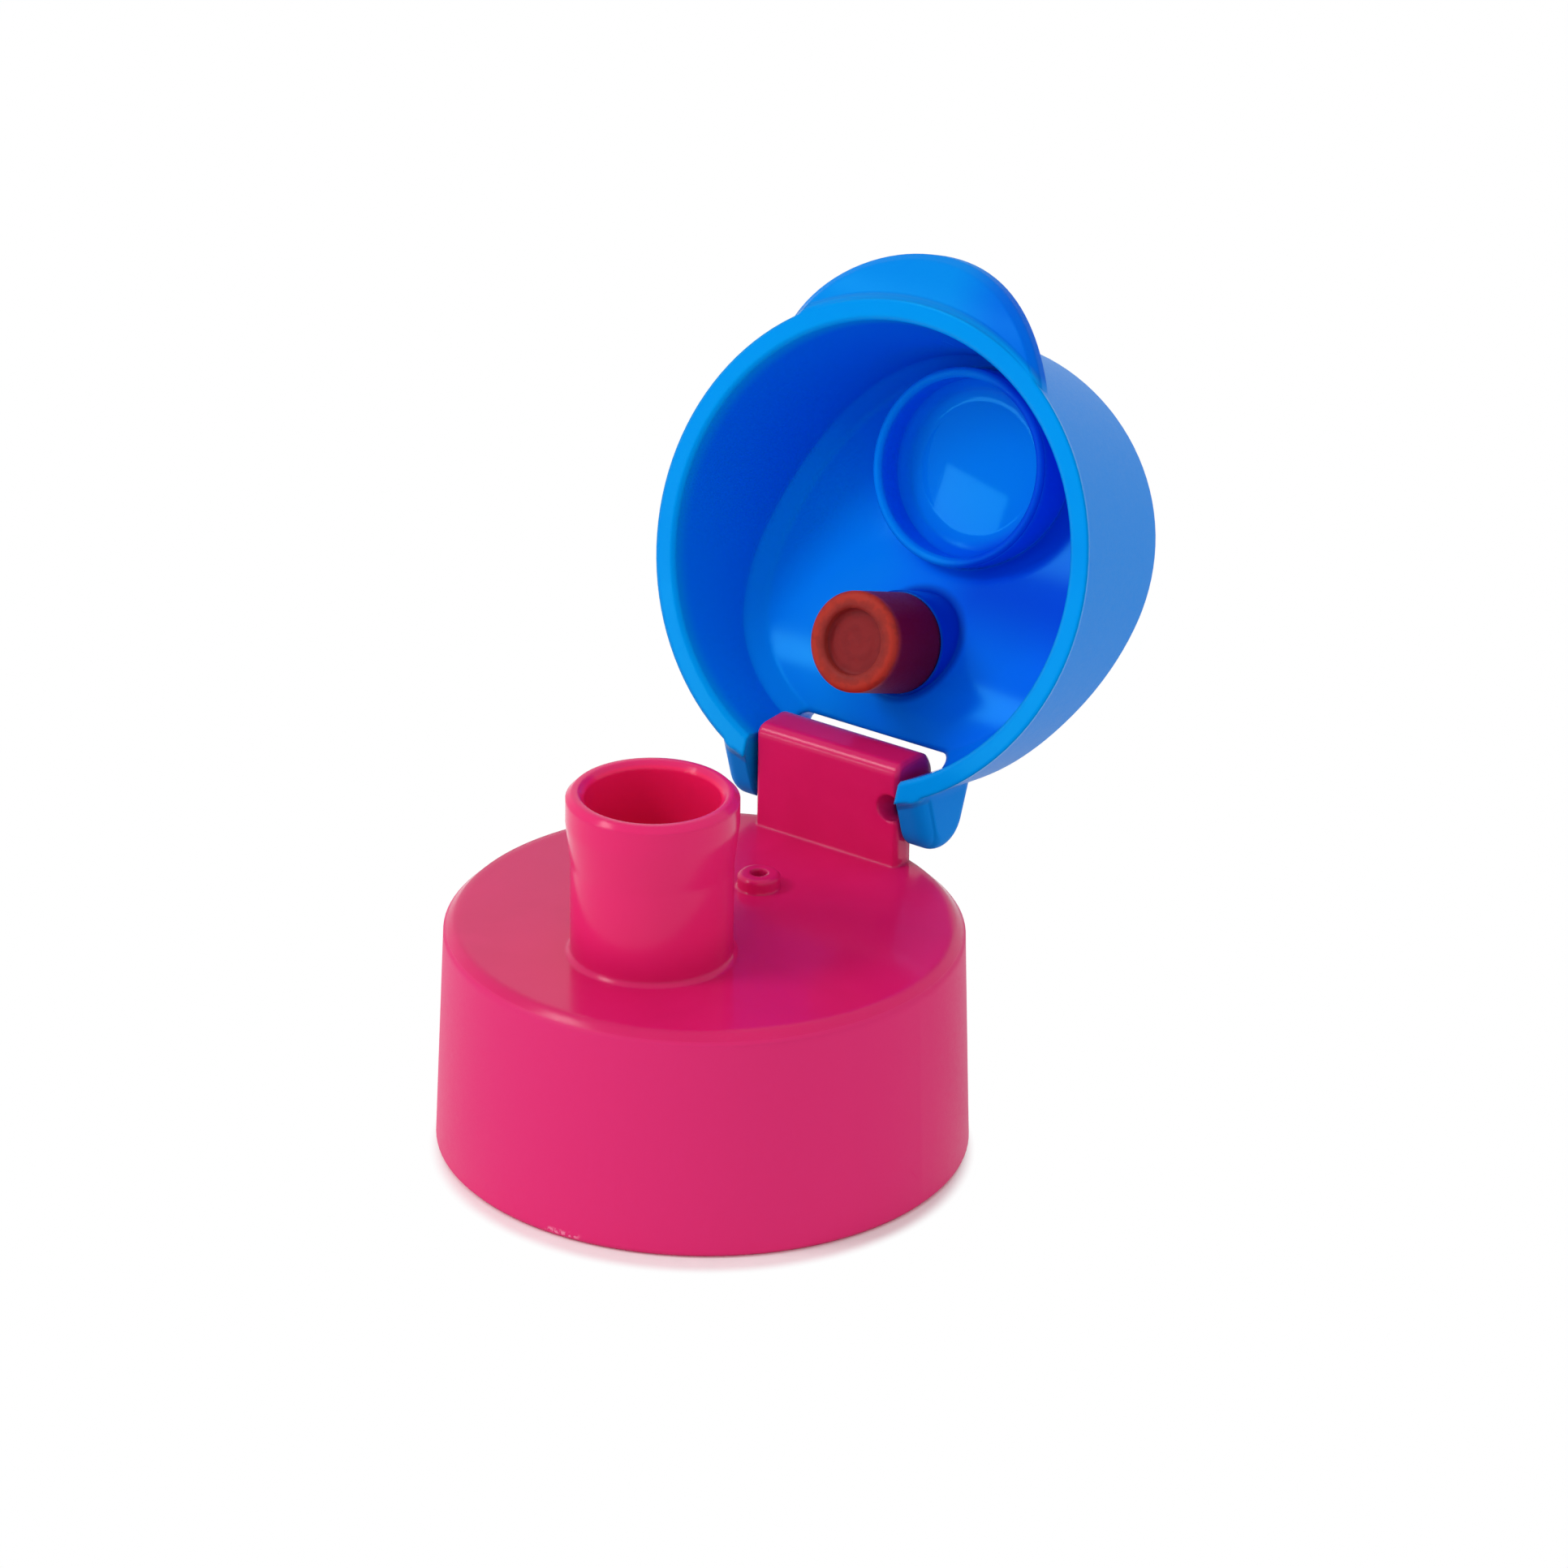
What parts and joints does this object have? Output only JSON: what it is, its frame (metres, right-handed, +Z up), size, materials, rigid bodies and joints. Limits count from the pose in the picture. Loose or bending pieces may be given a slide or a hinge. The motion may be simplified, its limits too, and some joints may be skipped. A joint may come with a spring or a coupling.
{
  "type": "bottle lid",
  "caption": "Screw cap with a drinking spout and a vent nipple, and a domed flip cover on a post hinge that closes over both.",
  "frame": {"origin": "centre of the screw cap's lower edge, on the axis of the bottle neck", "axes": "+Z up along the neck's axis, X along the hinge axis, the spout on the -Y side and the hinge post on the +Y side"},
  "size_m": [0.052, 0.0785, 0.079],
  "materials": {
    "cap_plastic": "moulded, glossy top and spout, satin skirt",
    "seal_rubber": "satin silicone",
    "cover_plastic": "moulded, glossy inside, satin outside",
    "plug_rubber": "satin silicone"
  },
  "bodies": {
    "cap": {"screw_cap": "cap_plastic", "bottle_seal": "seal_rubber"},
    "cover": {"flip_cover": "cover_plastic", "vent_plug": "plug_rubber"}
  },
  "joints": [
    {"name": "cover_hinge", "type": "hinge", "parent": "cap", "child": "cover", "pos_m": [0, 0.02357, 0.0284], "axis": [-1, 0, 0], "range_deg": [-110.5, 95]}
  ]
}
